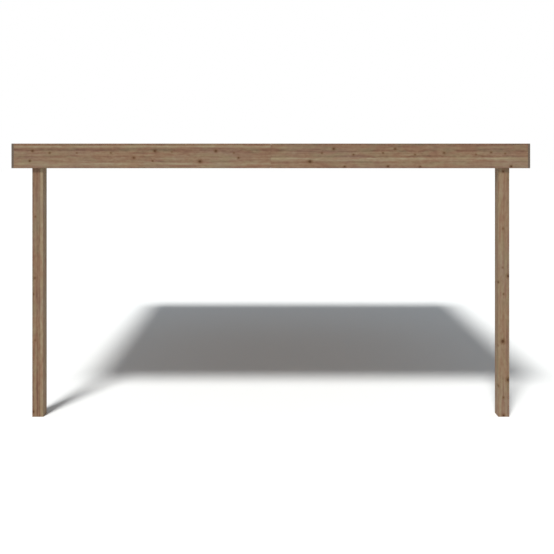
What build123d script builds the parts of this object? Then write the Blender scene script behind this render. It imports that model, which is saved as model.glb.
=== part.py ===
"""Lean-to garden pergola with a closed flat roof.

Two square posts carry a front beam, and a plate bolted to a house wall carries the back. Joists
run between the two in folded steel hangers, under a boarded deck with felt and a deep fascia.

Frame: X along the wall, +Y into the wall, +Z up. The origin is the middle of the wall plate's back
face, on the wall. The ground is level, below it. All sizes are in millimetres.
"""

import os

from build123d import *

# Overall sizes
roof_width = 4200.0  # over the outer faces of the side fascias
roof_depth = 3100.0  # from the wall to the front face of the front fascia
overall_height = 2220.0  # from the ground to the top edge of the fascias

# Timber sections
post_width = 90.0  # along the wall
post_depth = 90.0  # the beam is as deep as the posts
post_inset = 162.0  # from a side fascia's outer face to the post's outer face
frame_depth = 120.0  # height of the beam, the wall plate and the joists
wall_plate_thickness = 45.0
joist_thickness = 45.0
joist_count = 7
arris = 3.0  # radius of the eased edges of posts, beam, plate and joists

# Fascia boards
fascia_thickness = 18.0
fascia_height = 200.0
fascia_drop = 10.0  # the fascias hang this far below the beam, as a drip edge
fascia_arris = 2.0
fascia_joint = 1.0  # open joint between the two front boards

# Roof layers
deck_thickness = 18.0
fillet_share = 0.7  # leg of the three-cornered fillets, of the fascias' height above the deck
felt_thickness = 3.0
felt_roll = 1080.0  # width of one roll
felt_lap = 75.0  # one strip over the next
felt_bond = 12.0  # bitumen bead behind a lap

# Joist hangers, folded from sheet
hanger_gauge = 2.0
hanger_bend = 2.0  # inside radius of the folds, which the joists' eased edges clear
hanger_height = 92.0
hanger_seat = 70.0  # length under the joist
hanger_lip = 24.0  # length of the cheeks at their top
hanger_ear = 36.0  # width of each ear on the beam or plate, from the cheek
hanger_ear_rise = 10.0  # from the underside of the seat to the ears
hanger_corner = 5.0

# Angle brackets at the end joists
bracket_leg = 70.0
bracket_height = 80.0
bracket_gauge = 2.5
bracket_bend = 3.0  # inside radius
bracket_corner = 8.0

# Flat ties from post to beam
tie_width = 60.0
tie_length = 180.0
tie_gauge = 2.5
tie_corner = 6.0

# Holes for the wall bolts
wall_bolt_hole = 13.0  # diameter

# Places that follow from the sizes
plate_middle_height = overall_height - fascia_height + fascia_drop + frame_depth / 2
ground = -plate_middle_height
frame_top = frame_depth / 2
frame_bottom = -frame_depth / 2
fascia_bottom = frame_bottom - fascia_drop
fascia_top = fascia_bottom + fascia_height
deck_top = frame_top + deck_thickness
fillet_leg = fillet_share * (fascia_top - deck_top)

frame_half = roof_width / 2 - fascia_thickness  # half the length of the beam and the wall plate
frame_front = -(roof_depth - fascia_thickness)  # front face of the beam and the posts
beam_back = frame_front + post_depth
plate_front = -wall_plate_thickness
joist_pitch = (2 * frame_half - joist_thickness) / (joist_count - 1)
joist_places = [(i - (joist_count - 1) / 2) * joist_pitch for i in range(joist_count)]
post_place = roof_width / 2 - post_inset - post_width / 2


def block(low, high):
    """A plain box between two corners."""
    size = [b - a for a, b in zip(low, high)]
    middle = [(a + b) / 2 for a, b in zip(low, high)]
    return Pos(*middle) * Box(*size)


def timber(low, high, along, easing):
    """A planed timber between two corners, with its long edges eased."""
    blank = block(low, high)
    return fillet(blank.edges().filter_by(along), easing)


def post(side):
    middle = side * post_place
    low = (middle - post_width / 2, frame_front, ground)
    high = (middle + post_width / 2, beam_back, frame_bottom)
    return timber(low, high, Axis.Z, arris)


def front_beam():
    low = (-frame_half, frame_front, frame_bottom)
    high = (frame_half, beam_back, frame_top)
    return timber(low, high, Axis.X, arris)


def wall_plate():
    """The plate on the wall, with a bolt hole in the middle of each bay between the joists."""
    low = (-frame_half, plate_front, frame_bottom)
    high = (frame_half, 0, frame_top)
    plate = timber(low, high, Axis.X, arris)
    drill = Rot(90, 0, 0) * Cylinder(wall_bolt_hole / 2, 2 * wall_plate_thickness)
    for left, right in zip(joist_places, joist_places[1:]):
        plate -= Pos((left + right) / 2, plate_front / 2, 0) * drill
    return plate


def joist(place):
    low = (place - joist_thickness / 2, beam_back, frame_bottom)
    high = (place + joist_thickness / 2, plate_front, frame_top)
    return timber(low, high, Axis.Y, arris)


def folded(corners, gauge, bend):
    """The section of a folded sheet whose middle line runs through these corners."""
    return trace(FilletPolyline(*corners, radius=bend + gauge / 2), gauge)


def hanger():
    """A folded joist hanger on a face at Y zero, with its joist leaving towards -Y at X zero."""
    middle = joist_thickness / 2 + hanger_gauge / 2  # of a cheek's sheet
    seat = frame_bottom - hanger_gauge
    top = seat + hanger_height
    fold = hanger_bend + hanger_gauge
    channel = folded(
        [
            (-middle, top),
            (-middle, seat + hanger_gauge / 2),
            (middle, seat + hanger_gauge / 2),
            (middle, top),
        ],
        hanger_gauge,
        hanger_bend,
    )
    sheet = Pos(0, -fold, 0) * extrude(Plane.XZ * channel, amount=hanger_seat - fold)
    ear_end = middle + hanger_gauge / 2 + hanger_ear
    plan = folded(
        [(middle, -hanger_lip), (middle, -hanger_gauge / 2), (ear_end, -hanger_gauge / 2)],
        hanger_gauge,
        hanger_bend,
    )
    ear = extrude(Plane.XY.offset(seat + hanger_ear_rise) * plan, amount=hanger_height - hanger_ear_rise)
    ear = fillet(ear.edges().filter_by(Axis.Y).group_by(Axis.X)[-1], hanger_corner)
    sheet += [ear, mirror(ear, Plane.YZ)]
    slope = Polyline((-hanger_seat, frame_bottom), (-hanger_seat, top), (-hanger_lip, top), close=True)
    return sheet - extrude(Plane.YZ * make_face(slope), amount=joist_thickness, both=True)


def corner_bracket():
    """A bent angle: one leg on a face at Y zero, the other on a joist's face at X zero."""
    middle = bracket_gauge / 2  # of the sheet
    section = folded(
        [(bracket_leg, -middle), (middle, -middle), (middle, -bracket_leg)],
        bracket_gauge,
        bracket_bend,
    )
    sheet = extrude(section, amount=bracket_height / 2, both=True)
    ends = sheet.edges().filter_by(Axis.Y).group_by(Axis.X)[-1]
    ends += sheet.edges().filter_by(Axis.X).group_by(Axis.Y)[0]
    return fillet(ends, bracket_corner)


def post_tie(side):
    """A flat plate across the joint of post and beam, on their back faces."""
    plate = Box(tie_width, tie_gauge, tie_length)
    plate = fillet(plate.edges().filter_by(Axis.Y), tie_corner)
    return Pos(side * post_place, beam_back + tie_gauge / 2, frame_bottom) * plate


def front_fascia(side):
    """One of the two front boards, which meet in the middle, between the side boards."""
    near, far = sorted((side * fascia_joint / 2, side * frame_half))
    low = (near, -roof_depth, fascia_bottom)
    high = (far, frame_front, fascia_top)
    return timber(low, high, Axis.X, fascia_arris)


def side_fascia(side):
    near, far = sorted((side * frame_half, side * roof_width / 2))
    low = (near, -roof_depth, fascia_bottom)
    high = (far, 0, fascia_top)
    return timber(low, high, Axis.Y, fascia_arris)


def roof_deck():
    return block((-frame_half, frame_front, frame_top), (frame_half, 0, deck_top))


def roof_pan(layer):
    """The space over the deck and its fillets, above so many layers of felt.

    Its floor lies one felt higher for each layer, and so do its 45 degree sides, along their normal.
    """
    floor = deck_top + layer * felt_thickness
    slope_shift = layer * felt_thickness * (2**0.5 - 1)
    toe = fillet_leg + slope_shift
    rise = fascia_top - floor
    half = frame_half - toe
    front = frame_front + toe
    across = Polyline(
        (-half, floor), (half, floor), (half + rise, fascia_top), (-half - rise, fascia_top), close=True
    )
    along = Polyline(
        (front, floor), (0, floor), (0, fascia_top), (front - rise, fascia_top), close=True
    )
    pan = extrude(Plane.XZ * make_face(across), amount=roof_depth, both=True)
    pan &= extrude(Plane.YZ * make_face(along), amount=roof_width, both=True)
    return pan & block((-frame_half, frame_front, deck_top), (frame_half, 0, fascia_top))


def fillets():
    """The three fillets, mitred where they meet: front, left and right."""
    top = deck_top + fillet_leg
    ring = block((-frame_half, frame_front, deck_top), (frame_half, 0, top)) - roof_pan(0)
    mitre_lines = Polyline(
        (-frame_half, frame_front),
        (frame_half, frame_front),
        (0, frame_front + frame_half),
        close=True,
    )
    front_part = extrude(Plane.XY.offset(deck_top) * make_face(mitre_lines), amount=fillet_leg)
    sides = ring - front_part
    return {
        "roof_fillet_front": ring & front_part,
        "roof_fillet_left": sides & block((-frame_half, frame_front, deck_top), (0, 0, top)),
        "roof_fillet_right": sides & block((0, frame_front, deck_top), (frame_half, 0, top)),
    }


def felt_strips():
    """Felt strips across the roof from front to wall, each lapped over the one before it."""
    on_deck = roof_pan(0) - roof_pan(1)
    on_felt = roof_pan(1) - roof_pan(2)

    def stretch(layer, low, high):
        return layer & block((-frame_half, low, deck_top), (frame_half, high, fascia_top))

    strips = []
    start = frame_front
    while start < 0:
        end = min(start + felt_roll, 0)
        if strips:
            lap_end = start + felt_lap
            strip = stretch(on_deck, lap_end, end) + stretch(on_felt, start, lap_end + felt_bond)
        else:
            strip = stretch(on_deck, start, end)
        strips.append(strip)
        start = end - felt_lap if end < 0 else 0
    return strips


def all_parts():
    parts = {
        "front_beam": front_beam(),
        "wall_plate": wall_plate(),
        "roof_deck": roof_deck(),
    }
    for name, side in (("left", -1), ("right", 1)):
        parts[f"post_{name}"] = post(side)
        parts[f"post_tie_{name}"] = post_tie(side)
        parts[f"fascia_front_{name}"] = front_fascia(side)
        parts[f"fascia_{name}"] = side_fascia(side)
        bracket = corner_bracket() if side < 0 else mirror(corner_bracket(), Plane.YZ)
        joist_face = side * (frame_half - joist_thickness)
        parts[f"corner_bracket_wall_{name}"] = Pos(joist_face, plate_front, 0) * bracket
        parts[f"corner_bracket_beam_{name}"] = Pos(joist_face, beam_back, 0) * mirror(bracket, Plane.XZ)
    for number, place in enumerate(joist_places, start=1):
        parts[f"joist_{number}"] = joist(place)
        if 1 < number < joist_count:
            parts[f"hanger_wall_{number}"] = Pos(place, plate_front, 0) * hanger()
            parts[f"hanger_beam_{number}"] = Pos(place, beam_back, 0) * mirror(hanger(), Plane.XZ)
    parts.update(fillets())
    for number, strip in enumerate(felt_strips(), start=1):
        parts[f"roof_felt_{number}"] = strip
    return parts


os.makedirs("parts", exist_ok=True)
for part_name, solid in all_parts().items():
    export_step(solid, f"parts/{part_name}.step")
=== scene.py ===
import math
import random

import bpy
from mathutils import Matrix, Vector


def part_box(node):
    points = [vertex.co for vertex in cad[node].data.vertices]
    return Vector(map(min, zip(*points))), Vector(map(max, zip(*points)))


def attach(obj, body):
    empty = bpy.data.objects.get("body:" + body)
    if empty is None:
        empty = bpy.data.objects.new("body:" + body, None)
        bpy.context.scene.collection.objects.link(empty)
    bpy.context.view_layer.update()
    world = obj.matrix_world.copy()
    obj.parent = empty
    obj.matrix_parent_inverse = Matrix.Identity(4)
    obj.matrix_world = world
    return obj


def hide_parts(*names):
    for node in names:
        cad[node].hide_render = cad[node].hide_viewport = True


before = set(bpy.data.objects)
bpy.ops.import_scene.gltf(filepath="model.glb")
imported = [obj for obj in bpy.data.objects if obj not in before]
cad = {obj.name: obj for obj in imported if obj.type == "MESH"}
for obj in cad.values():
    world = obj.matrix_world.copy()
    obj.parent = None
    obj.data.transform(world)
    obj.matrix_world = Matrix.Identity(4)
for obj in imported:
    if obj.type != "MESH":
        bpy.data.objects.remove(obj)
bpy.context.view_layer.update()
mm = 0.001
print("frame:", len(cad), "nodes")


def linear(code):  # sRGB hex to linear RGBA
    parts = [int(code[i:i + 2], 16) / 255 for i in (1, 3, 5)]
    return (*[c / 12.92 if c <= 0.04045 else ((c + 0.055) / 1.055) ** 2.4 for c in parts], 1.0)


def addNode(tree, kind, inputs=None, **props):  # an input is a node, a socket or a plain value
    made = tree.nodes.new("ShaderNode" + kind)
    for name, value in props.items():
        setattr(made, name, value)
    for key, value in (inputs or {}).items():
        if isinstance(value, bpy.types.Node):
            value = next(socket for socket in value.outputs if socket.enabled)
        if isinstance(value, bpy.types.NodeSocket):
            tree.links.new(value, made.inputs[key])
        else:
            made.inputs[key].default_value = value
    return made


def setStops(ramp, stops, easing="LINEAR"):  # a stop is a place and a hex colour or a grey level
    elements = ramp.color_ramp.elements
    ramp.color_ramp.interpolation = easing
    while len(elements) < len(stops):
        elements.new(0.5)  # moved to its place below
    for element, (place, shade) in zip(elements, stops):
        element.position = place
        element.color = linear(shade) if isinstance(shade, str) else (shade, shade, shade, 1)


def newMaterial(name):
    material = bpy.data.materials.new(name)
    material.use_nodes = True
    material.node_tree.nodes.clear()
    return material, material.node_tree


def newPiece(name, points, faces, material):
    mesh = bpy.data.meshes.new(name)
    mesh.from_pydata([tuple(p) for p in points], [], faces)
    mesh.update()
    mesh.materials.append(material)
    piece = bpy.data.objects.new(name, mesh)
    bpy.context.scene.collection.objects.link(piece)
    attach(piece, "root")
    return piece


# Pressure-treated pine, planed and stained brown: long soft bands, thin darker streaks along the
# fibres, small dark knots that the rings flow round, and a dry surface with little shine.
pineFinish = {
    "tones": [
        (0.0, "#5f402d"), (0.28, "#7e5b45"), (0.5, "#8e6f54"),
        (0.64, "#967b5f"), (0.8, "#9d8a6d"), (1.0, "#ae9d7f"),
    ],
    "layers": {  # length, width and depth in mm, octaves
        "bands": (2600, 42, 70, 2),
        "streaks": (300, 18, 22, 4),
        "flecks": (50, 22, 22, 2),
        "fibres": (90, 1.6, 1.6, 2),  # real ones are too fine to show, so these are coarser
    },
    "layerContrast": 0.6,
    "shares": {  # of the tone
        "bands": 0.75, "streaks": 0.75, "flecks": 0.62, "fibres": 0.3, "rings": 0.18,
    },
    "layoutShare": 0.8,  # of the tone, where a member's bands are listed
    "bandsBesideLayout": 0.45,  # what is left of the other bands there
    "boardShare": 0.3,  # of the tone, from board to board
    "drift": (800, 260, 260),  # mm over which the grain wanders, the stain fades and the hue turns
    "driftOctaves": 1,
    "wander": 12,  # mm from side to side
    "logLength": 9000,  # mm, over which the pieces are cut
    "far": 100000,  # mm, beyond every piece
    "ringWidth": 3.6,  # mm
    "ringTones": [(0, 0.75), (0.5, 0.62), (0.85, 0.2), (0.95, 0.1), (1, 0.7)],  # early to late wood
    "ringUneven": 1.4,  # rings
    "ringsRoundKnot": 3.0,  # rings that a knot pushes aside
    "knotLong": 0.85,  # knots are a little longer along the grain
    "knotDeep": 0.3,  # and run deep into the wood, getting thinner
    "knotZones": {"core": (1.15, 0.5), "halo": (2.4, 0.8), "eye": (5.0, 0.0)},  # radii: none, full
    "knotCells": (210, 1.4),  # between scattered knots: mm along the log, radians round its pith
    "knotReach": 0.055,  # radius, as a share of a cell
    "noKnot": 50,  # radii away
    "tints": {  # colour, how it mixes, most of it
        "silver": ("#8f877c", "MIX", 0.25),  # where the weather has bleached the stain
        "rosy": ("#8c6650", "COLOR", 0.55),  # where the stain has taken reddish
        "olive": ("#867558", "COLOR", 0.65),  # where the green of the treatment shows through
        "halo": ("#6a431c", "MIX", 0.5),
        "core": ("#4d2c0a", "MIX", 0.88),
    },
    "tintRange": {  # noise: none, full
        "silver": (0.45, 0.75), "rosy": (0.5, 0.3), "olive": (0.48, 0.66),
    },
    "tintScale": {"silver": 1.7, "olive": 5.3},  # patches in a length of drift
    "tintOctaves": 3,
    "endGrain": [(0.0, "#594b3f"), (1.0, "#796959")],
    "endFacing": (0.75, 0.9),  # how squarely a face looks along the grain: none, full
    "roughness": (0.58, 0.78),  # smooth, dry
    "fibreRange": (0.3, 0.7),  # noise: smooth, dry
    "specular": 0.35,
    "relief": 0.5,  # mm
    "reliefStrength": 0.6,
    "ringRelief": 0.4,  # beside the fibres
}


def spanOf(node, axis):  # in mm
    low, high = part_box(node)
    way = "XYZ".index(axis)
    return low[way] / mm, high[way] / mm


def rowOf(axis, first, second):  # like pieces side by side: which way, one's middle, their pitch
    here, there = (sum(spanOf(node, axis)) / 2 for node in (first, second))
    return axis, here, there - here


def grainPlaces(tree, member):  # along, across and through the grain in mm, straight and wandering
    place = addNode(tree, "TexCoord").outputs["Object"]
    inMm = addNode(tree, "VectorMath", {0: place, "Scale": 1 / mm}, operation="SCALE")
    split = addNode(tree, "SeparateXYZ", {0: inMm}).outputs
    along, across, through = (split[axis] for axis in member["grain"])
    board = None
    if "attribute" in member:
        board = addNode(tree, "Attribute", attribute_name=member["attribute"]).outputs["Fac"]
    if "knots" not in member:  # each piece is cut from its own place along the log
        cut = board or addNode(tree, "ObjectInfo").outputs["Random"]
        shifted = {0: cut, 1: pineFinish["logLength"], 2: along}
        along = addNode(tree, "Math", shifted, operation="MULTIPLY_ADD")
    straight = addNode(tree, "CombineXYZ", {0: along, 1: across, 2: through})
    drift = addNode(tree, "VectorMath", {0: straight, 1: pineFinish["drift"]}, operation="DIVIDE")
    sway = {"Vector": drift, "Scale": 1, "Detail": pineFinish["driftOctaves"]}
    noise = addNode(tree, "TexNoise", sway)
    wander = member.get("wander", pineFinish["wander"])
    aside = addNode(tree, "Math", {0: noise, 1: wander, 2: -wander / 2}, operation="MULTIPLY_ADD")
    across = addNode(tree, "Math", {0: across, 1: aside}, operation="ADD")
    grain = addNode(tree, "CombineXYZ", {0: along, 1: across, 2: through})

    pith = [0, *member["pith"]]  # may lie outside the piece
    inRow = grain
    if "repeat" in member:  # like pieces in a row, each with its own pith, given from its middle
        axis, middle, pitch = member["repeat"]
        way = member["grain"].index(axis)
        low, high = [-pineFinish["far"]] * 3, [pineFinish["far"]] * 3
        low[way], high[way] = middle - pitch / 2, middle + pitch / 2
        pith[way] += middle
        inRow = addNode(tree, "VectorMath", {0: grain, 1: high, 2: low}, operation="WRAP")
    # Counting back through the grain keeps the seam of the angle round the pith out of the pieces
    toPith = {0: inRow, 1: (0, 1, -1), 2: (0, -pith[1], pith[2])}
    fromPith = addNode(tree, "VectorMath", toPith, operation="MULTIPLY_ADD")
    return {
        "along": along, "across": across, "straight": straight, "grain": grain,
        "drift": drift, "fromPith": fromPith, "board": board,
    }


def knotDistance(tree, member, places):  # to the nearest knot, in knot radii
    if "knots" not in member:  # scattered, growing out from the pith, with some left out
        out = addNode(tree, "SeparateXYZ", {0: places["fromPith"]}).outputs
        turn = addNode(tree, "Math", {0: out["Y"], 1: out["Z"]}, operation="ARCTAN2")
        onLog = addNode(tree, "CombineXYZ", {0: places["along"], 1: turn})
        size = (*pineFinish["knotCells"], 1)
        cells = addNode(tree, "VectorMath", {0: onLog, 1: size}, operation="DIVIDE")
        spread = {"Vector": cells, "Scale": 1}
        scatter = addNode(tree, "TexVoronoi", spread, voronoi_dimensions="2D")
        pick = addNode(tree, "SeparateColor", {0: scatter.outputs["Color"]})
        absent = addNode(tree, "Math", {0: pick, 1: member["knotShare"]}, operation="GREATER_THAN")
        radii = addNode(tree, "Math", {0: scatter, 1: pineFinish["knotReach"]}, operation="DIVIDE")
        away = {0: absent, 1: pineFinish["noKnot"], 2: radii}
        return addNode(tree, "Math", away, operation="MULTIPLY_ADD")
    face = spanOf(member["node"], member["grain"][2])[0]  # the front one
    long, deep = pineFinish["knotLong"], pineFinish["knotDeep"]
    squeezed = {0: places["straight"], 1: (long, 1, deep)}
    place = addNode(tree, "VectorMath", squeezed, operation="MULTIPLY")
    nearest = pineFinish["noKnot"]
    for along, across, radius, faint in member["knots"]:
        knot = (long * along, across, deep * face)
        away = addNode(tree, "VectorMath", {0: place, 1: knot}, operation="DISTANCE")
        radii = addNode(tree, "Math", {0: away, 1: 1 / radius, 2: faint}, operation="MULTIPLY_ADD")
        nearest = addNode(tree, "Math", {0: nearest, 1: radii}, operation="MINIMUM")
    return nearest


def growthRings(tree, places, streaks, eye):  # round the pith
    distance = addNode(tree, "VectorMath", {0: places["fromPith"]}, operation="LENGTH")
    rounds = addNode(tree, "Math", {0: distance, 1: pineFinish["ringWidth"]}, operation="DIVIDE")
    for push, most in ((streaks, pineFinish["ringUneven"]), (eye, pineFinish["ringsRoundKnot"])):
        rounds = addNode(tree, "Math", {0: push, 1: most, 2: rounds}, operation="MULTIPLY_ADD")
    phase = addNode(tree, "Math", {0: rounds}, operation="FRACT")
    rings = addNode(tree, "ValToRGB", {0: phase})
    setStops(rings, pineFinish["ringTones"])
    return rings


def pineLightness(tree, member, places, layers):  # half, and a share of each layer above or below it
    shares = dict(pineFinish["shares"])
    if "bands" in member:  # listed across this member
        low, high = spanOf(member["node"], member["grain"][1])
        width = {"Value": places["across"], "From Min": low, "From Max": high}
        layers["layout"] = addNode(tree, "ValToRGB", {0: addNode(tree, "MapRange", width)})
        setStops(layers["layout"], member["bands"], "EASE")
        shares["layout"] = pineFinish["layoutShare"]
        shares["bands"] *= pineFinish["bandsBesideLayout"]
    if places["board"]:
        layers["board"] = places["board"]
        shares["board"] = pineFinish["boardShare"]
    total = 0.5 - sum(shares.values()) / 2 + member.get("tone", 0)
    for layer, share in shares.items():
        added = {0: layers[layer], 1: share, 2: total}
        total = addNode(tree, "Math", added, operation="MULTIPLY_ADD")
    return total


colorA, colorB = 6, 7  # a Mix node's two colours, by number because A and B name other inputs too


def stainTints(tree, color, places, layers, zones):  # weather, treatment and knots over the stain
    for tint, (shade, blend, most) in pineFinish["tints"].items():
        if tint in zones:
            share = addNode(tree, "Math", {0: zones[tint], 1: most}, operation="MULTIPLY")
        else:
            level = layers["streaks"]
            if tint in pineFinish["tintScale"]:
                patches = {"Vector": places["drift"], "Scale": pineFinish["tintScale"][tint]}
                level = addNode(tree, "TexNoise", {**patches, "Detail": pineFinish["tintOctaves"]})
            start, end = pineFinish["tintRange"][tint]
            ramp = {"Value": level, "From Min": start, "From Max": end, "To Max": most}
            share = addNode(tree, "MapRange", ramp)
        mix = {"Factor": share, colorA: color, colorB: linear(shade)}
        color = addNode(tree, "Mix", mix, data_type="RGBA", blend_type=blend)
    return color


def sawnEnds(tree, color, member, rings):  # darker, with the rings as arcs
    axis = [letter == member["grain"][0] for letter in "XYZ"]
    normal = addNode(tree, "TexCoord").outputs["Normal"]
    facing = addNode(tree, "VectorMath", {0: normal, 1: axis}, operation="DOT_PRODUCT")
    squarely = addNode(tree, "Math", {0: facing}, operation="ABSOLUTE")
    start, end = pineFinish["endFacing"]
    sawn = addNode(tree, "MapRange", {"Value": squarely, "From Min": start, "From Max": end})
    arcs = addNode(tree, "ValToRGB", {0: rings})
    setStops(arcs, pineFinish["endGrain"])
    return addNode(tree, "Mix", {"Factor": sawn, colorA: color, colorB: arcs}, data_type="RGBA")


def stainedPine(name, member):
    material, tree = newMaterial(name)
    places = grainPlaces(tree, member)
    knot = knotDistance(tree, member, places)
    zones = {}
    for zone, (start, end) in pineFinish["knotZones"].items():
        reach = {"Value": knot, "From Min": start, "From Max": end}
        zones[zone] = addNode(tree, "MapRange", reach, interpolation_type="SMOOTHSTEP")
    layers = {}
    for layer, (*size, octaves) in pineFinish["layers"].items():  # noise stretched along the grain
        stretched = addNode(tree, "VectorMath", {0: places["grain"], 1: size}, operation="DIVIDE")
        noise = {"Vector": stretched, "Scale": 1, "Detail": octaves}
        layers[layer] = addNode(tree, "TexNoise", {**noise, "Roughness": pineFinish["layerContrast"]})
    layers["rings"] = growthRings(tree, places, layers["streaks"], zones["eye"])
    color = addNode(tree, "ValToRGB", {0: pineLightness(tree, member, places, layers)})
    setStops(color, pineFinish["tones"])
    color = stainTints(tree, color, places, layers, zones)
    color = sawnEnds(tree, color, member, layers["rings"])

    low, high = pineFinish["fibreRange"]
    smooth, dry = pineFinish["roughness"]
    fibres = {"Value": layers["fibres"], "From Min": low, "From Max": high}
    wear = addNode(tree, "MapRange", {**fibres, "To Min": smooth, "To Max": dry})
    ridges = {0: layers["rings"], 1: pineFinish["ringRelief"], 2: layers["fibres"]}
    height = addNode(tree, "Math", ridges, operation="MULTIPLY_ADD")
    deep, strong = pineFinish["relief"] * mm, pineFinish["reliefStrength"]
    surface = addNode(tree, "BsdfPrincipled", {
        "Base Color": color,
        "Roughness": wear,
        "Normal": addNode(tree, "Bump", {"Height": height, "Strength": strong, "Distance": deep}),
        "Specular IOR Level": pineFinish["specular"],
    })
    addNode(tree, "OutputMaterial", {"Surface": surface})
    return material


# The grain's letters are the axes along, across and through a member. A pith is its place across and
# through in mm, counted from each piece's middle in the way that like pieces repeat.
# Bands run from the lower or left edge: place as a share of the width, then lightness.
# A knot is its place along and across the member, its radius in mm, and how faint it is.
# A knot share is the share of the scattered knots that show, and a tone is added to the lightness.
frontLeft = {
    "node": "fascia_front_left",
    "grain": "XZY",
    "pith": (-40, -2990),
    "wander": 5,
    # The dark last stops, at the board's top edge, are painted shade along its top arris.
    "bands": [
        (0.02, 0.4), (0.07, 0.52), (0.11, 0.56), (0.17, 0.72), (0.29, 0.47), (0.39, 0.58), (0.46, 0.42),
        (0.54, 0.55), (0.66, 0.47), (0.72, 0.2), (0.8, 0.3), (0.88, 0.9), (0.925, 0.4), (0.98, 0.25),
    ],
    "knots": [
        (-1930, 70, 9, 0), (-1790, 54, 9, 0.3), (-1571, 54, 7, 0.5), (-1295, 54, 8, 0.4),
        (-1109, 14, 11, 0.3), (-1952, -11, 9, 0.1), (-939, 70, 10, 0), (-957, -11, 7, 0.2),
        (-801, 62, 8, 0.6), (-574, -15, 13, 0.1), (-445, 70, 10, 0), (-299, 54, 8, 0.5),
        (-262, 14, 10, 0.3),
    ],
}
frontRight = {
    "node": "fascia_front_right",
    "grain": "XZY",
    "pith": (25, -2980),
    "wander": 5,
    # The dark last stops, at the board's top edge, are painted shade along its top arris.
    "bands": [
        (0.02, 0.34), (0.07, 0.47), (0.15, 0.58), (0.235, 0.4), (0.28, 0.5), (0.33, 0.7), (0.39, 0.88),
        (0.43, 0.58), (0.478, 0.22), (0.56, 0.52), (0.64, 0.5), (0.7, 0.2), (0.76, 0.28), (0.82, 0.42),
        (0.9, 0.36), (0.98, 0.18),
    ],
    "knots": [
        (317, -16, 14, 0.05), (414, 52, 9, 0.4), (509, 87, 10, 0.1), (598, -59, 9, 0.1),
        (670, 40, 10, 0.4), (909, 54, 8, 0.3), (949, -55, 10, 0.15), (1006, 87, 10, 0.3),
        (1168, 42, 8, 0.4), (1209, -59, 9, 0.2), (1403, 54, 10, 0.3), (1662, 42, 8, 0.5),
        (1784, 58, 9, 0.35), (1898, 50, 8, 0.5), (1946, -55, 9, 0),
    ],
}
postLeft = {
    "node": "post_left",
    "grain": "ZXY",
    "pith": (-1830, -2990),
    "wander": 4,
    "bands": [
        (0.05, 0.2), (0.18, 0.42), (0.3, 0.47), (0.36, 0.48), (0.45, 0.15), (0.54, 0.5), (0.63, 0.25),
        (0.73, 0.6), (0.82, 0.85), (0.91, 0.72),
    ],
    "knots": [
        (-464, -1913, 9, 0.5), (-962, -1917, 9, 0.4), (-1092, -1928, 8, 0.3), (-1468, -1915, 9, 0.6),
        (-2048, -1931, 10, 0),
    ],
}
postRight = {
    "node": "post_right",
    "grain": "ZXY",
    "pith": (1960, -2980),
    "wander": 6,
    "tone": 0.02,
    "bands": [
        (0.0, 0.6), (0.17, 0.68), (0.4, 0.52), (0.5, 0.46), (0.65, 0.55), (0.78, 0.45), (0.86, 0.32),
        (0.95, 0.55),
    ],
    "knots": [
        (-98, 1887, 9, 0.3), (-560, 1887, 10, 0.6), (-877, 1884, 9, 0.6), (-945, 1929, 12, 0),
        (-996, 1848, 10, 0.3), (-1092, 1890, 8, 0.3), (-1476, 1884, 14, 0), (-1512, 1840, 9, 0.3),
        (-1788, 1927, 13, 0), (-1838, 1844, 9, 0.1), (-1932, 1890, 9, 0.5), (-2080, 1891, 10, 0.1),
    ],
}
sideBoard = {
    "grain": "YZX",
    "pith": (-10, 95),
    "repeat": rowOf("X", "fascia_left", "fascia_right"),
    "knotShare": 0.75,
}
frameAlong = {
    "grain": "XZY",
    "pith": (-30, 100),
    "repeat": rowOf("Y", "front_beam", "wall_plate"),
    "knotShare": 0.5,
}
joistTimber = {
    "grain": "YZX",
    "pith": (-15, 90),
    "repeat": rowOf("X", "joist_4", "joist_5"),
    "knotShare": 0.5,
}
filletTimber = {
    "grain": "YZX",
    "pith": (60, 60),
    "repeat": rowOf("X", "roof_fillet_left", "roof_fillet_right"),
    "wander": 26,
    "knotShare": 0.2,
}

pines = {
    "fascia_front_left": stainedPine("stainedPineFrontLeft", frontLeft),
    "fascia_front_right": stainedPine("stainedPineFrontRight", frontRight),
    "post_left": stainedPine("stainedPinePostLeft", postLeft),
    "post_right": stainedPine("stainedPinePostRight", postRight),
    "fascia": stainedPine("stainedPineSides", sideBoard),
    "joist": stainedPine("stainedPineJoists", joistTimber),
    "roof_fillet": stainedPine("stainedPineFillets", filletTimber),
}
framePine = stainedPine("stainedPineFrame", frameAlong)
pines.update({"front_beam": framePine, "wall_plate": framePine})
print("pine:", len(set(pines.values())), "materials")


# Tongue-and-groove roof boards, laid along the wall, with a V joint below
boardShape = {
    "count": 26,
    "gap": 0.6,  # mm between the faces of two boards
    "veeLeg": 3.5,  # mm, of the chamfer on the lower edges
    "tongue": 5.0,  # mm that it stands out
    "tongueLow": 7.4,  # mm over the underside
    "tongueHigh": 11.0,
    "play": 0.3,  # mm round the tongue
    "toneSpread": 0.9,  # from board to board
    "seed": 4,
}
deckFront, deckBack = spanOf("roof_deck", "Y")
boardPitch = (deckBack - deckFront) / boardShape["count"]
deckBoards = {
    "grain": "XYZ",
    "pith": (0, 150),
    "repeat": ("Y", deckFront + boardPitch / 2, boardPitch),
    "knotShare": 0.7,
    "attribute": "boardTone",
    "tone": 0.03,
}
pines["roof_deck"] = stainedPine("stainedPineBoards", deckBoards)


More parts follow.
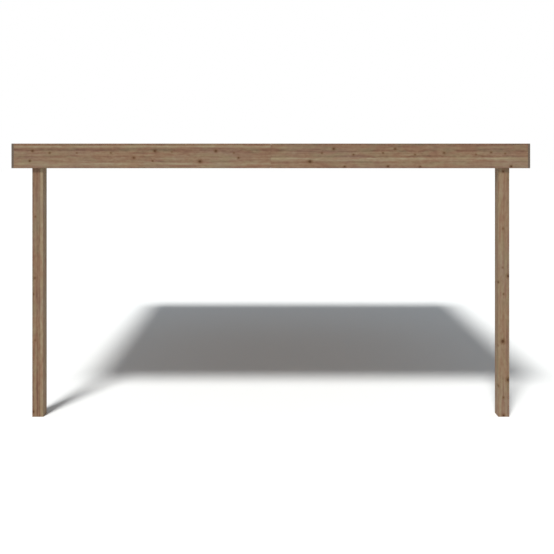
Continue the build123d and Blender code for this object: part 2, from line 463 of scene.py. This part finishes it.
def roofBoards(shape):
    low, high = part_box("roof_deck")
    thick = (high.z - low.z) / mm
    width = boardPitch - shape["gap"]
    vee, tongue, play = shape["veeLeg"], shape["tongue"], shape["play"]
    bottom, top = shape["tongueLow"], shape["tongueHigh"]
    points, faces, tones = [], [], []
    draw = random.Random(shape["seed"])
    for i in range(shape["count"]):
        outline = [(vee, 0), (width - vee, 0), (width, vee)]
        if i < shape["count"] - 1:
            outline += [(width, bottom), (width + tongue, bottom), (width + tongue, top), (width, top)]
        outline += [(width, thick), (0, thick)]
        if i > 0:
            depth = tongue + play - shape["gap"]
            outline += [(0, top + play), (depth, top + play), (depth, bottom - play), (0, bottom - play)]
        outline.append((0, vee))
        start = low.y + (i * boardPitch + shape["gap"] / 2) * mm
        first, count = len(points), len(outline)
        for x in (low.x, high.x):
            points += [(x, start + y * mm, low.z + z * mm) for y, z in outline]
        for k in range(count):
            here, after = first + k, first + (k + 1) % count
            faces.append((here, after, after + count, here + count))
        faces.append(tuple(reversed(range(first, first + count))))
        faces.append(tuple(range(first + count, first + 2 * count)))
        tones += [draw.random() * shape["toneSpread"]] * (count + 2)  # its sides and two ends
    piece = newPiece("roofBoards", points, faces, pines["roof_deck"])
    tone = piece.data.attributes.new("boardTone", "FLOAT", "FACE")
    tone.data.foreach_set("value", tones)
    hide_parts("roof_deck")


roofBoards(boardShape)
print("roof boards:", boardShape["count"])


# Hot-dipped galvanised sheet steel: grey, with faint crystal patches (spangle) and a soft sheen.
zincFinish = {
    "tones": [(0.0, "#989da0"), (0.5, "#a6abae"), (1.0, "#b3b7b9")],
    "spangle": 8,  # mm across a crystal
    "roughness": (0.42, 0.52),  # from crystal to crystal
}


def galvanisedSteel(name, finish):
    material, tree = newMaterial(name)
    place = addNode(tree, "TexCoord").outputs["Object"]
    crystals = addNode(tree, "TexVoronoi", {"Vector": place, "Scale": 1 / (finish["spangle"] * mm)})
    pick = addNode(tree, "SeparateColor", {0: crystals.outputs["Color"]}).outputs
    tint = addNode(tree, "ValToRGB", {0: pick["Red"]})
    setStops(tint, finish["tones"])
    bright, dull = finish["roughness"]
    sheen = addNode(tree, "MapRange", {"Value": pick["Green"], "To Min": bright, "To Max": dull})
    look = {"Base Color": tint, "Roughness": sheen, "Metallic": 1.0}
    addNode(tree, "OutputMaterial", {"Surface": addNode(tree, "BsdfPrincipled", look)})
    return material


# Bitumen roofing felt with slate grit: dark grey, mottled, fully matt, with dirt along the laps. The
# grit is about 1.5 mm and too fine to show, so its coarsest grains are drawn at 11 mm.
feltFinish = {
    "tones": [(0.25, "#3a3c3e"), (0.5, "#4a4c4e"), (0.75, "#62656a")],
    "grit": 11,  # mm
    "gritOctaves": 5,
    "gritContrast": 0.75,
    "mottle": 420,  # mm
    "mottleOctaves": 4,
    "mottleShare": 0.4,  # of the tone
    "rollShare": 0.14,  # of the tone, from roll to roll
    "dirt": 45,  # mm each side of a lap's edge, where rain leaves it
    "dirtShare": 0.36,  # of the tone
    "roughness": 0.92,
    "relief": 1.2,  # mm
    "reliefStrength": 0.7,
}


def gritFelt(name, finish, edges):  # each edge is where a lap ends, as Y
    material, tree = newMaterial(name)
    place = addNode(tree, "TexCoord").outputs["Object"]
    fine, coarse = 1 / (finish["grit"] * mm), 1 / (finish["mottle"] * mm)
    grains = {"Vector": place, "Scale": fine, "Detail": finish["gritOctaves"]}
    grit = addNode(tree, "TexNoise", {**grains, "Roughness": finish["gritContrast"]})
    clouds = {"Vector": place, "Scale": coarse, "Detail": finish["mottleOctaves"]}
    mottle = addNode(tree, "TexNoise", clouds)
    roll = addNode(tree, "ObjectInfo").outputs["Random"]
    tone = grit
    for level, share in ((mottle, finish["mottleShare"]), (roll, finish["rollShare"])):
        shift = addNode(tree, "Math", {0: level, 1: share, 2: -share / 2}, operation="MULTIPLY_ADD")
        tone = addNode(tree, "Math", {0: tone, 1: shift}, operation="ADD")
    back = addNode(tree, "SeparateXYZ", {0: place}).outputs["Y"]
    for edge in edges:  # with dirt as uneven as the mottling
        gap = addNode(tree, "Math", {0: back, 1: edge}, operation="SUBTRACT")
        away = addNode(tree, "Math", {0: gap}, operation="ABSOLUTE")
        near = {"Value": away, "From Max": finish["dirt"] * mm}
        darker = {**near, "To Min": -finish["dirtShare"], "To Max": 0}
        dirt = addNode(tree, "MapRange", darker, interpolation_type="SMOOTHSTEP")
        tone = addNode(tree, "Math", {0: dirt, 1: mottle, 2: tone}, operation="MULTIPLY_ADD")
    tint = addNode(tree, "ValToRGB", {0: tone})
    setStops(tint, finish["tones"])
    deep, strong = finish["relief"] * mm, finish["reliefStrength"]
    relief = addNode(tree, "Bump", {"Height": grit, "Strength": strong, "Distance": deep})
    look = {"Base Color": tint, "Roughness": finish["roughness"], "Normal": relief}
    addNode(tree, "OutputMaterial", {"Surface": addNode(tree, "BsdfPrincipled", look)})
    return material


# Bitumen that was pressed out hot: near black and smooth, with a dull gloss.
bitumenFinish = {
    "tones": [(0.3, "#17181a"), (0.7, "#2b2c2e")],
    "skin": 17,  # mm across a lighter patch
    "skinOctaves": 3,
    "roughness": 0.42,
}


def pressedBitumen(name, finish):
    material, tree = newMaterial(name)
    place = addNode(tree, "TexCoord").outputs["Object"]
    patches = {"Vector": place, "Scale": 1 / (finish["skin"] * mm), "Detail": finish["skinOctaves"]}
    tint = addNode(tree, "ValToRGB", {0: addNode(tree, "TexNoise", patches)})
    setStops(tint, finish["tones"])
    look = {"Base Color": tint, "Roughness": finish["roughness"]}
    addNode(tree, "OutputMaterial", {"Surface": addNode(tree, "BsdfPrincipled", look)})
    return material


zinc = galvanisedSteel("galvanisedSteel", zincFinish)
lapEdges = [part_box(node)[0].y for node in ("roof_felt_2", "roof_felt_3")]
felt = gritFelt("slateGritFelt", feltFinish, lapEdges)
bitumen = pressedBitumen("pressedBitumen", bitumenFinish)
print("zinc, felt and bitumen: done")

finishes = {**pines, "hanger": zinc, "corner_bracket": zinc, "post_tie": zinc, "roof_felt": felt}
for name, node in cad.items():  # a node takes the finish with the longest matching start of its name
    longest = max((start for start in finishes if name.startswith(start)), key=len)
    node.data.materials.clear()
    node.data.materials.append(finishes[longest])


# Turned heads of nails and screws. A profile starts at the rim: share of the radius, share of the
# height, and depth of the drive's lobes as a share of the radius there.
nailHead = {
    "radius": 4.2,  # mm, as in the other heads
    "height": 1.6,
    "sides": 14,
    "profile": [(1.0, 0.0, 0), (1.0, 0.5, 0), (0.8, 0.85, 0), (0.4, 1.0, 0)],
}
screwHead = {
    "radius": 5.0,
    "height": 2.2,
    "sides": 24,
    "lobes": 6,  # of the drive
    "profile": [
        (1.0, 0.0, 0), (1.0, 0.35, 0), (0.86, 0.8, 0), (0.56, 1.0, 0),
        (0.5, 1.0, 0.2), (0.46, 0.25, 0.2),
    ],
}
cloutHead = {
    "radius": 5.0,
    "height": 1.2,
    "sides": 14,
    "profile": [(1.0, 0.0, 0), (0.96, 0.6, 0), (0.6, 1.0, 0)],
}


def heads(name, spots, shape):  # a spot is its centre on the surface and the way out of it
    points, faces = [], []
    sides, rings = shape["sides"], len(shape["profile"])
    turns = [2 * math.pi * k / sides for k in range(sides)]
    for centre, normal in spots:
        out = Vector(normal).normalized()
        first = out.orthogonal().normalized()
        second = out.cross(first)
        base = len(points)
        for share, rise, depth in shape["profile"]:
            middle = Vector(centre) + out * shape["height"] * rise * mm
            for turn in turns:
                lobed = 1 + depth * math.cos(shape.get("lobes", 0) * turn)
                radius = shape["radius"] * share * lobed * mm
                points.append(middle + (first * math.cos(turn) + second * math.sin(turn)) * radius)
        for ring in range(base, base + (rings - 1) * sides, sides):
            for k in range(sides):
                here, after = ring + k, ring + (k + 1) % sides
                faces.append((here, after, after + sides, here + sides))
        faces.append(tuple(range(base + (rings - 1) * sides, base + rings * sides)))
        faces.append(tuple(reversed(range(base, base + sides))))
    newPiece(name, points, faces, zinc)


def steelFace(name):  # of a hanger or bracket: where it lies on beam or plate, and the way out of that
    low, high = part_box(name)
    return (high.y, -1) if "wall" in name else (low.y, 1)


# On each ear: out from the joist's middle, up from the seat. On each cheek: away from the ear, up.
hangerNails = {
    "ear": [(37, 22), (49, 36), (37, 50), (49, 64), (37, 80)],  # mm
    "cheek": [(16, 62), (20, 36), (40, 30)],
    "gauge": 2.0,  # mm, of the hanger's sheet
}


def hangerSpots(nails):
    joistLow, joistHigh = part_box("joist_2")
    cheek = (joistHigh.x - joistLow.x) / 2 + nails["gauge"] * mm
    spots = []
    for name in sorted(n for n in cad if n.startswith("hanger")):
        low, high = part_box(name)
        middle = (low.x + high.x) / 2
        face, out = steelFace(name)
        for side in (-1, 1):
            for reach, rise in nails["ear"]:
                spot = (middle + side * reach * mm, face + out * nails["gauge"] * mm, low.z + rise * mm)
                spots.append((spot, (0, out, 0)))
            for reach, rise in nails["cheek"]:
                spot = (middle + side * cheek, face + out * reach * mm, low.z + rise * mm)
                spots.append((spot, (side, 0, 0)))
    return spots


# Along each leg from the corner, up from its lower edge
bracketScrews = {
    "leg": [(24, 16), (24, 64), (52, 24), (52, 56)],  # mm
    "gauge": 2.5,  # mm, of the bracket's sheet
}


def bracketSpots(screws):
    gauge = screws["gauge"] * mm
    spots = []
    for name in sorted(n for n in cad if n.startswith("corner_bracket")):
        low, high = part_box(name)
        face, out = steelFace(name)
        corner, inward = (low.x, 1) if "left" in name else (high.x, -1)
        for reach, rise in screws["leg"]:
            height = low.z + rise * mm
            spots.append(((corner + inward * reach * mm, face + out * gauge, height), (0, out, 0)))
            spots.append(((corner + inward * gauge, face + out * reach * mm, height), (inward, 0, 0)))
    return spots


# Left and right of the tie's middle, up from its lower end
tieScrews = {"across": 17, "rows": [22, 54, 126, 158]}  # mm


def tieSpots(screws):
    spots = []
    for name in ("post_tie_left", "post_tie_right"):
        low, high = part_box(name)
        middle = (low.x + high.x) / 2
        for row in screws["rows"]:
            for side in (-1, 1):
                spot = (middle + side * screws["across"] * mm, high.y, low.z + row * mm)
                spots.append((spot, (0, 1, 0)))
    return spots


# Clout nails that hold the felt to the fillets, with none near the laps
feltNails = {
    "pitch": 140,  # mm at least
    "below": 11,  # mm under the felt's upper edge
    "clearOfLap": (-10, 105),  # mm behind a lap's front edge, from and to
}


def feltSpots(nails):
    low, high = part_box("roof_felt_1")
    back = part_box("roof_felt_3")[1].y
    edge = nails["below"] * mm
    top = high.z - edge
    start, end = nails["clearOfLap"]
    spots = []
    count = int((high.x - low.x) / (nails["pitch"] * mm))
    for i in range(1, count):
        spots.append(((low.x + (high.x - low.x) * i / count, low.y + edge, top), (0, 1, 1)))
    count = int((back - low.y) / (nails["pitch"] * mm))
    for i in range(1, count):
        y = low.y + (back - low.y) * i / count
        if any(start < (y - lap) / mm < end for lap in lapEdges):
            continue
        spots.append(((low.x + edge, y, top), (1, 0, 1)))
        spots.append(((high.x - edge, y, top), (-1, 0, 1)))
    return spots


heads("hangerNails", hangerSpots(hangerNails), nailHead)
heads("bracketScrews", bracketSpots(bracketScrews), screwHead)
heads("tieScrews", tieSpots(tieScrews), screwHead)
heads("feltNails", feltSpots(feltNails), cloutHead)
print("fasteners: done")


# Bitumen pressed out along the front edge of each lap, up the fillets at both ends
beadShape = {
    "radius": (2.2, 4.2),  # mm, least and most
    "flatten": 0.8,
    "waver": 0.8,  # mm to the front or back
    "step": 45,  # mm along the bead
    "sides": 8,
    "feltThickness": 3,  # mm
    "seed": 11,
}


def bitumenBead(name, upper, shape):
    draw = random.Random(shape["seed"])
    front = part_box(upper)[0].y
    low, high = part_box("roof_felt_1")
    flat = low.z + shape["feltThickness"] * mm
    slope = high.z - flat  # as far in as up
    corners = [(low.x, high.z), (low.x + slope, flat), (high.x - slope, flat), (high.x, high.z)]
    path = []
    for (x0, z0), (x1, z1) in zip(corners, corners[1:]):
        steps = max(1, int(math.hypot(x1 - x0, z1 - z0) / (shape["step"] * mm)))
        path += [(x0 + (x1 - x0) * i / steps, z0 + (z1 - z0) * i / steps) for i in range(steps)]
    path.append(corners[-1])
    points, faces = [], []
    sides = shape["sides"]
    for i, (x, z) in enumerate(path):
        before, after = path[max(i - 1, 0)], path[min(i + 1, len(path) - 1)]
        lean = math.atan2(after[1] - before[1], after[0] - before[0])
        radius = draw.uniform(*shape["radius"]) * mm
        y = front + draw.uniform(-shape["waver"], shape["waver"]) * mm
        for k in range(sides):
            turn = 2 * math.pi * k / sides
            up = math.sin(turn) * radius * shape["flatten"]
            aside, rise = -math.sin(lean) * up, math.cos(lean) * up
            points.append((x + aside, y + math.cos(turn) * radius, z + rise))
    for ring in range(0, len(points) - sides, sides):
        for k in range(sides):
            here, after = ring + k, ring + (k + 1) % sides
            faces.append((here, after, after + sides, here + sides))
    faces.append(tuple(reversed(range(sides))))
    faces.append(tuple(range(len(points) - sides, len(points))))
    piece = newPiece(name, points, faces, bitumen)
    piece.data.polygons.foreach_set("use_smooth", [True] * len(faces))


bitumenBead("bitumenBeadFront", "roof_felt_2", beadShape)
bitumenBead("bitumenBeadBack", "roof_felt_3", beadShape)
print("bitumen beads: 2")


# White floor under the posts, and plain light: a wide soft sun, two low fills and an even pale sky
stageLook = {
    "floorHalf": 60,  # m
    "floorRise": 0.5,  # mm up the posts, so that light from below reaches their ends
    "floorColor": "#d8d8d8",  # for the light that it throws back
    "floorSeen": "#fdfefc",  # for the eye
    "skyColor": "#eef6ff",  # a little cool, to even out the warm light from the wood
    "skyStrength": 0.29,
    "backdrop": "#ffffff",
    "lamps": {  # the way the light travels, degrees across, strength
        "sun": ((0.195, 0.489, -1.0), 11.3, 2.86),
        "fillFromLeft": ((1, 0, 0), 30, 0.45),
        "fillFromRight": ((-1, 0, 0), 30, 0.45),
    },
}


def seenRays(tree):  # 1 for what the eye sees, also by way of gloss or glass, and 0 for other light
    rays = addNode(tree, "LightPath").outputs
    seen = rays["Is Camera Ray"]
    for kind in ("Is Glossy Ray", "Is Transmission Ray"):
        seen = addNode(tree, "Math", {0: seen, 1: rays[kind]}, operation="MAXIMUM")
    return seen


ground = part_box("post_left")[0].z
half, level = stageLook["floorHalf"], ground + stageLook["floorRise"] * mm
floorMesh = bpy.data.meshes.new("floor")
floorCorners = [(x * half, y * half, level) for x, y in ((-1, -1), (1, -1), (1, 1), (-1, 1))]
floorMesh.from_pydata(floorCorners, [], [(0, 1, 2, 3)])
floor = bpy.data.objects.new("floor", floorMesh)
bpy.context.scene.collection.objects.link(floor)
whiteFloor, floorTree = newMaterial("whiteFloor")
bounced = addNode(floorTree, "BsdfDiffuse", {"Color": linear(stageLook["floorColor"])})
seen = addNode(floorTree, "BsdfDiffuse", {"Color": linear(stageLook["floorSeen"])})
fromAbove = addNode(floorTree, "MixShader", {0: seenRays(floorTree), 1: bounced, 2: seen})
underside = addNode(floorTree, "NewGeometry").outputs["Backfacing"]
clear = addNode(floorTree, "BsdfTransparent")
fromBelow = addNode(floorTree, "MixShader", {0: underside, 1: fromAbove, 2: clear})
addNode(floorTree, "OutputMaterial", {"Surface": fromBelow})
floorMesh.materials.append(whiteFloor)

for name, (travels, across, strength) in stageLook["lamps"].items():
    lamp = bpy.data.objects.new(name, bpy.data.lights.new(name, "SUN"))
    lamp.data.energy = strength
    lamp.data.angle = math.radians(across)
    lamp.rotation_euler = Vector(travels).to_track_quat("-Z", "Y").to_euler()
    bpy.context.scene.collection.objects.link(lamp)

world = bpy.data.worlds.new("paleSky")
world.use_nodes = True
skyTree = world.node_tree
skyTree.nodes.clear()
skyColor, skyStrength = linear(stageLook["skyColor"]), stageLook["skyStrength"]
lighting = addNode(skyTree, "Background", {"Color": skyColor, "Strength": skyStrength})
backdrop = addNode(skyTree, "Background", {"Color": linear(stageLook["backdrop"]), "Strength": 1.0})
sky = addNode(skyTree, "MixShader", {0: seenRays(skyTree), 1: lighting, 2: backdrop})
addNode(skyTree, "OutputWorld", {"Surface": sky})
bpy.context.scene.world = world
print("floor and light: done")


# A level camera straight in front. Pixel values are places in the photograph.
cameraLook = {
    "imageSize": 554,
    "horizonRow": 150.95,
    "middleColumn": 270.8,  # straight ahead of the lens
    "focalPixels": 694.4,
    "toPosts": 5.64,  # m, to the front of the posts
    "eyeHeight": 2.16,  # m over the ground
    "sensor": 36,  # mm
    "farthest": 500,  # m
}
size = cameraLook["imageSize"]
lens = bpy.data.cameras.new("camera")
lens.sensor_width = cameraLook["sensor"]
lens.lens = cameraLook["focalPixels"] / size * cameraLook["sensor"]
lens.shift_x = (size / 2 - cameraLook["middleColumn"]) / size
lens.shift_y = (cameraLook["horizonRow"] - size / 2) / size
lens.clip_end = cameraLook["farthest"]
camera = bpy.data.objects.new("camera", lens)
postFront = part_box("post_left")[0].y
camera.location = (0, postFront - cameraLook["toPosts"], ground + cameraLook["eyeHeight"])
camera.rotation_euler = (math.pi / 2, 0, 0)  # level, looking at the wall
bpy.context.scene.collection.objects.link(camera)
bpy.context.scene.camera = camera
bpy.context.scene.view_settings.view_transform = "Standard"
print("camera: done")
